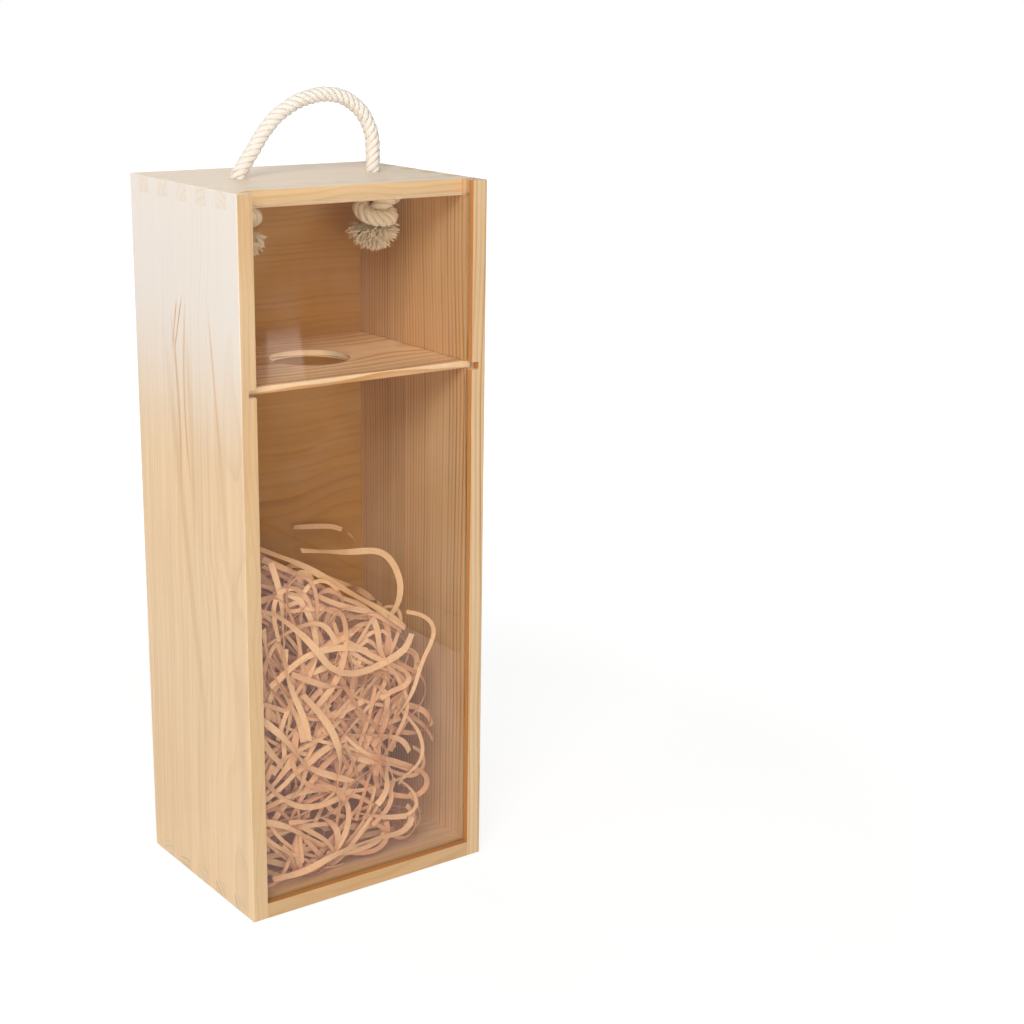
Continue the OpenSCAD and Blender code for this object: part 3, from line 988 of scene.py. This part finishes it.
# Strips laid one by one where they show most: width, how rosy, and the route in millimetres
LAID = (
    (4.0, 0.10, (-28, -36, 180), (-17, -37, 178), (-3, -37, 175), (9, -37, 174), (16, -38, 173), (22, -38, 168),
        (25, -39, 162), (27, -40, 155), (26, -41, 148), (23, -42, 143), (17, -44, 139)),
    (4.2, 0.25, (-48, -32, 183), (-38, -34, 178), (-28, -36, 173), (-18, -38, 166), (-7, -40, 158), (1, -41, 152),
        (9, -42, 147), (18, -44, 140), (27, -44, 132)),
    (3.8, 0.35, (-46, -30, 177), (-35, -31, 171), (-23, -33, 164), (-13, -35, 157), (-5, -37, 151), (4, -38, 148),
        (9, -40, 142), (12, -42, 134), (12, -43, 124), (14, -44, 117), (19, -46, 109)),
    (3.6, 0.15, (-48, -34, 175), (-36, -36, 167), (-25, -38, 159), (-14, -40, 152), (-3, -41, 147), (7, -42, 144),
        (16, -42, 138), (26, -42, 130)),
    (4.4, 0.05, (-56, -44, 157), (-48, -45, 154), (-40, -45, 147), (-31, -45, 138), (-25, -46, 130),
        (-20, -46, 122), (-13, -46, 117), (-5, -45, 114), (4, -45, 114), (13, -45, 116), (22, -44, 118),
        (28, -44, 121), (31, -44, 128)),
    (3.6, 0.20, (-51, -44, 117), (-46, -44, 120), (-39, -43, 124), (-30, -42, 128), (-21, -42, 130),
        (-10, -42, 132), (-3, -42, 135)),
    (3.6, 0.30, (-10, -42, 133), (-1, -43, 127), (7, -44, 121), (15, -44, 116), (24, -44, 111), (30, -45, 106),
        (28, -44, 100), (20, -44, 100), (12, -44, 97)),
    (3.8, 0.12, (-47, -40, 178), (-44, -42, 166), (-43, -43, 156), (-43, -44, 143), (-43, -44, 131),
        (-42, -45, 120), (-39, -45, 111), (-35, -45, 102), (-32, -46, 93), (-31, -46, 85)),
    (2.6, 0.40, (-39, -38, 165), (-30, -40, 161), (-25, -40, 156), (-23, -41, 149), (-23, -42, 140)),
    (3.0, 0.15, (-18, -40, 137), (-16, -41, 144), (-11, -42, 148), (-2, -42, 148), (6, -42, 144)),
    (4.0, 0.30, (-55, -46, 148), (-54, -46, 137), (-51, -46, 126), (-46, -46, 115), (-39, -45, 103),
        (-35, -45, 94), (-33, -44, 84)),
    (2.6, 0.10, (23, -44, 86), (29, -44, 92), (33, -44, 99), (36, -43, 106), (40, -42, 113), (45, -41, 119),
        (48, -40, 125), (46, -39, 131), (40, -37, 135), (33, -36, 137)),
    (3.0, 0.35, (-9, -42, 131), (-12, -42, 124), (-14, -42, 117), (-15, -42, 109)),
    (3.6, 0.45, (-8, -42, 130), (-5, -43, 122), (-3, -44, 113), (-4, -44, 105)),
    (3.8, 0.50, (-39, -44, 121), (-25, -44, 113), (-14, -44, 108), (-2, -44, 107), (8, -43, 106), (15, -44, 101),
        (17, -44, 94), (14, -44, 87), (11, -44, 78), (11, -45, 65), (11, -46, 51)),
    (4.2, 0.20, (27, -42, 94), (21, -43, 87), (17, -45, 79), (15, -46, 67), (14, -46, 54), (16, -45, 46),
        (10, -44, 39)),
    (4.6, 0.08, (-33, -44, 109), (-26, -45, 100), (-19, -46, 90), (-15, -46, 80), (-13, -47, 71), (-15, -47, 62),
        (-16, -46, 54), (-14, -46, 46)),
    (4.4, 0.12, (-58, -46, 103), (-50, -47, 95), (-42, -47, 86), (-37, -47, 77), (-31, -46, 70), (-24, -46, 66),
        (-15, -45, 61), (-5, -44, 56)),
    (4.0, 0.22, (-9, -44, 78), (-6, -44, 70), (-3, -45, 62), (-1, -44, 56)),
    (4.4, 0.16, (-56, -44, 47), (-47, -45, 44), (-39, -46, 38), (-31, -46, 32), (-23, -46, 26)),
    (4.2, 0.18, (-53, -46, 16), (-37, -47, 15), (-26, -46, 17), (-14, -46, 20), (-1, -46, 21), (11, -45, 21),
        (24, -44, 19), (32, -42, 21), (34, -40, 27)),
    (3.4, 0.25, (-42, -44, 43), (-31, -45, 41), (-21, -45, 41), (-12, -44, 44), (-5, -43, 48), (-0, -42, 53)),
    (4.0, 0.30, (-47, -46, 32), (-42, -46, 27), (-40, -46, 20)),
    (2.4, 0.20, (23, -42, 90), (30, -43, 82), (37, -43, 72), (39, -43, 63), (37, -44, 57), (32, -44, 53),
        (25, -44, 50), (23, -44, 47)),
    (2.4, 0.35, (25, -42, 48), (31, -43, 43), (35, -44, 35), (34, -43, 29), (27, -42, 27)),
    (4.4, 0.55, (34, -34, 81), (39, -36, 77), (44, -38, 72), (47, -40, 65)),
    (3.6, 0.28, (-7, -42, 39), (4, -44, 35), (16, -44, 30), (28, -44, 28)),
    (3.4, 0.15, (13, 42, 166), (24, 41, 165), (35, 39, 164), (39, 36, 162)),
    (3.0, 0.45, (44, 38, 159), (48, 36, 155), (47, 34, 147)),
    (3.6, 0.30, (-18, -44, 78), (-25, -45, 76), (-31, -45, 72), (-37, -44, 69)),
    (5.0, 0.05, (-57, -46, 91), (-53, -46, 84), (-46, -46, 75)),
    (4.0, 0.60, (4, -40, 68), (6, -41, 75), (11, -41, 84), (15, -42, 92), (24, -42, 95), (29, -42, 98)),
    (3.6, 0.65, (-1, -38, 86), (4, -39, 91), (10, -40, 95), (15, -40, 97), (19, -41, 91), (17, -41, 80),
        (9, -42, 71)),
    (3.4, 0.50, (-5, -44, 114), (5, -43, 114), (14, -42, 109), (21, -41, 101), (22, -40, 92), (20, -40, 81)),
    (3.8, 0.35, (-55, -44, 109), (-44, -42, 103), (-33, -42, 97), (-21, -41, 92), (-7, -41, 94), (3, -42, 97)),
    (3.6, 0.25, (-34, -42, 38), (-25, -43, 31), (-18, -44, 25), (-15, -44, 16)),
    (3.8, 0.30, (-56, -44, 71), (-52, -44, 64), (-45, -44, 56), (-34, -43, 48), (-21, -42, 46), (-10, -42, 48)),
    (3.4, 0.40, (-40, -44, 55), (-33, -43, 60), (-32, -43, 68), (-27, -42, 75), (-17, -42, 77), (-7, -42, 79)),
)

# They were drawn a little too broad over the photograph
LAID_WIDTH = 0.8

# Where the nest may lie between the boards, and the round hollow in its middle
NEST_LOW, NEST_RIGHT, NEST_BACK = np.array([-59.2, -47.2, 8.6]), 59.2, 48.8
HOLLOW, HOLLOW_RADIUS, HOLLOW_FLOOR = np.array([0.0, 0.9]), 35.5, 14
# Distance between the points of a strip
STEP = 2.6


def nest_top(x, height):
    """How high the nest reaches at x. It is highest at the left board, which is at -60, and falls from there."""
    return height - (x + 60) * 0.52


def fall_of_a_strip(chance, start, heading, length, front, right, roof):
    """Route of one strip that was dropped in the nest: springy, bending flat way round, held in by the walls."""
    p, t = np.array(start, float), unit(np.array(heading, float))
    # Strips lie with their flat side half towards the cover
    n = chance.normal(size=3) * np.array([1, 0.3, 1]) + np.array([0, -0.8, 0])
    n = unit(n - n.dot(t) * t)
    kind = chance.uniform()
    usual = chance.uniform(18, 30) if kind < 0.12 else chance.uniform(55, 220)
    bend = chance.choice([-1, 1]) / usual
    twist = chance.normal() * 0.007
    low = np.array([NEST_LOW[0], front, NEST_LOW[2]])
    line, normals = [p.copy()], [n.copy()]
    for _ in range(int(length / STEP)):
        bend += chance.normal() * 0.0022
        twist += chance.normal() * 0.0016
        twist *= 0.96
        t = unit(t + bend * STEP * n + np.array([0, 0, -0.006]))
        n = unit(n - n.dot(t) * t)
        n = unit(n + twist * STEP * np.cross(t, n))
        q = p + t * STEP
        high = np.array([min(NEST_RIGHT, right), NEST_BACK, nest_top(q[0], roof)])
        wall = np.minimum(np.maximum(q, low), high) - q
        aside = q[:2] - HOLLOW
        gap = np.linalg.norm(aside)
        if q[2] > HOLLOW_FLOOR and gap < HOLLOW_RADIUS:
            wall[:2] += aside / max(gap, 1e-6) * (HOLLOW_RADIUS - gap)
        if np.linalg.norm(wall) > 1e-6:
            q = q + wall
            t = unit(unit(q - p) + 0.25 * unit(wall))
            q = p + t * STEP
            q = np.minimum(np.maximum(q, low), np.maximum(high, low + 1))
            # A strip that meets a wall turns its flat side to it
            side = unit(wall)
            n = n if n.dot(side) >= 0 else -n
            n = unit(0.8 * n + 0.2 * side)
            n = unit(n - n.dot(t) * t)
            bend = bend * 0.9 + (0.006 if n.dot(side) > 0 else -0.006)
        p = q
        line.append(p.copy())
        normals.append(n.copy())
    line, normals = np.array(line), np.array(normals)
    # Paper is springy, so kinks are smoothed out
    soften(line, 16)
    for _ in range(16):
        normals[1:-1] = unit(0.5 * normals[1:-1] + 0.25 * (normals[:-2] + normals[2:]))
    return line, normals


def sweep_of_a_strip(chance, x, z, length, depth, right, roof):
    """Route of one strip behind the cover: it sweeps along in long curves, and turns back before the walls."""
    # High up the strips run down to the right, in the middle they stand, and low down they lie
    heading = math.radians(np.interp(z, (15, 50, 80, 120, 150), (-5, 25, 75, 100, 142)) + 30 * chance.normal())
    heading += chance.choice([0, math.pi])
    curl, phase = 0.02 * chance.normal(), chance.uniform(0, 6.28)
    line = []
    for i in range(int(length / STEP)):
        curl += 0.0042 * chance.normal() - 0.02 * curl
        out = max(0.0, -55 - x, x - right, z - nest_top(x, roof), 13 - z)
        home = math.atan2(80 - z, -14 - x) - heading
        home = (home + math.pi) % (2 * math.pi) - math.pi
        heading += curl * STEP + min(0.30, 0.05 * out) * max(-1, min(1, home))
        x = min(58.5, max(-59.0, x + STEP * math.cos(heading)))
        z = max(9.3, z + STEP * math.sin(heading))
        line.append((x, depth + 2.0 * math.sin(phase + i * STEP / 24), z))
    line = np.array(line)
    soften(line, 6)
    return line


def lay_facing(shell, chance, line, width, rosy):
    """Lays one strip along a line with its flat side to the cover, rolling a little as it goes."""
    t = unit(np.gradient(line, axis=0))
    phase, length = chance.uniform(0, 6.28), len(line)
    facing = np.tile((0.25 * chance.normal(), -1.0, 0.25 * chance.normal()), (length, 1))
    facing = square_to(t, facing)
    roll = (0.95 * np.sin(phase + np.arange(length) * 2.2 / chance.uniform(14, 26)))[:, None]
    strip(shell, line, np.cos(roll) * np.cross(t, facing) + np.sin(roll) * facing, width, rosy)


class WINEBOX_OT_paper_nest(bpy.types.Operator):
    """Drop the cut paper strips round the round hollow in the middle"""

    bl_idname = "winebox.paper_nest"
    bl_label = "Paper Nest"

    def execute(self, context):
        look = context.scene.winebox_paper
        chance = np.random.default_rng(look.seed)
        shell = Shell()
        for width, rosy, *route in LAID:
            lay_facing(shell, chance, even_route(route, 2.2), width * LAID_WIDTH, rosy)
        # Behind them strips sweep along in a layer 10 mm deep, and more have fallen round the hollow
        made = 0
        while made < look.swept:
            x, z = chance.uniform(-58, 40), chance.uniform(12, 172)
            # The nest thins out towards the right and in the lower right corner, where the boards show
            if z > nest_top(x, 172) or chance.uniform() < max(0.0, x / 55):
                continue
            if z < 30 and x > -10 and chance.uniform() < 0.5:
                continue
            right = 8 + 34 * chance.uniform() ** 1.5
            length, depth, roof = chance.uniform(60, 165), chance.uniform(-41.5, -37.5), 180 - 24 * chance.uniform()
            line = sweep_of_a_strip(chance, x, z, length, depth, right, roof)
            width = look.width / MM * chance.uniform(0.6, 1.1)
            lay_facing(shell, chance, line, width, chance.uniform() ** 1.3)
            made += 1
        made = 0
        while made < look.strips:
            where = chance.uniform()
            x, y, z = chance.uniform(-58, 44), chance.uniform(-46, 47), chance.uniform(10, 190)
            front = chance.uniform(-37, -34)
            if where < 0.30:
                y = chance.uniform(front, front + 9)
            elif where < 0.60:
                x = chance.uniform(-58, -38)
            y = max(y, front)
            in_hollow = math.hypot(x, y - HOLLOW[1]) < HOLLOW_RADIUS and z > HOLLOW_FLOOR
            if z > nest_top(x, 176) or in_hollow:
                continue
            if chance.uniform() < max(0.0, (x - 5) / 60) or (z < 32 and x > -10 and chance.uniform() < 0.65):
                continue
            heading = chance.normal(size=3) * np.array([1.0, 0.5, 0.9])
            right = 20 + 36 * chance.uniform() ** 1.6
            roof = 186 - 26 * chance.uniform() ** 2
            line, normals = fall_of_a_strip(chance, (x, y, z), heading, chance.uniform(100, 230), front, right, roof)
            across = np.cross(unit(np.gradient(line, axis=0)), normals)
            width = look.width / MM * chance.uniform(0.78, 1.22)
            strip(shell, line, across, width, chance.uniform() ** 1.3)
            made += 1
        nest = shell.piece("paper_nest")
        only(nest)
        bpy.ops.object.shade_smooth_by_angle(angle=math.radians(40))
        dress(nest, "paper_filler", "shredded_paper", cut_paper(look))
        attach(nest, "box")
        return {"FINISHED"}


# ---------------------------------------------------------------- add-on


OPERATORS = (
    WINEBOX_OT_stage,
    WINEBOX_OT_rope_handle,
    WINEBOX_OT_rope_knots,
    WINEBOX_OT_boards,
    WINEBOX_OT_neck_shelf,
    WINEBOX_OT_sliding_cover,
    WINEBOX_OT_paper_nest,
)


class WINEBOX_PT_panel(bpy.types.Panel):
    """Everything that builds the wine box, with its settings"""

    bl_idname = "WINEBOX_PT_panel"
    bl_label = "Wine Box"
    bl_space_type = "VIEW_3D"
    bl_region_type = "UI"
    bl_category = "Wine Box"

    def draw(self, context):
        for operator in OPERATORS:
            self.layout.operator(operator.bl_idname)
        for key, group in SETTINGS.items():
            box = self.layout.box()
            for name in group.__annotations__:
                box.prop(getattr(context.scene, key), name)


def register():
    for made in (*SETTINGS.values(), *OPERATORS, WINEBOX_PT_panel):
        bpy.utils.register_class(made)
    for key, group in SETTINGS.items():
        setattr(bpy.types.Scene, key, PointerProperty(type=group))


def unregister():
    for key in SETTINGS:
        delattr(bpy.types.Scene, key)
    for made in reversed((*SETTINGS.values(), *OPERATORS, WINEBOX_PT_panel)):
        bpy.utils.unregister_class(made)


def main():
    register()
    bpy.ops.winebox.stage()
    bpy.ops.winebox.rope_handle()
    bpy.ops.winebox.rope_knots()
    bpy.ops.winebox.boards()
    bpy.ops.winebox.neck_shelf()
    bpy.ops.winebox.sliding_cover()
    bpy.ops.winebox.paper_nest()


if __name__ == "__main__":
    main()
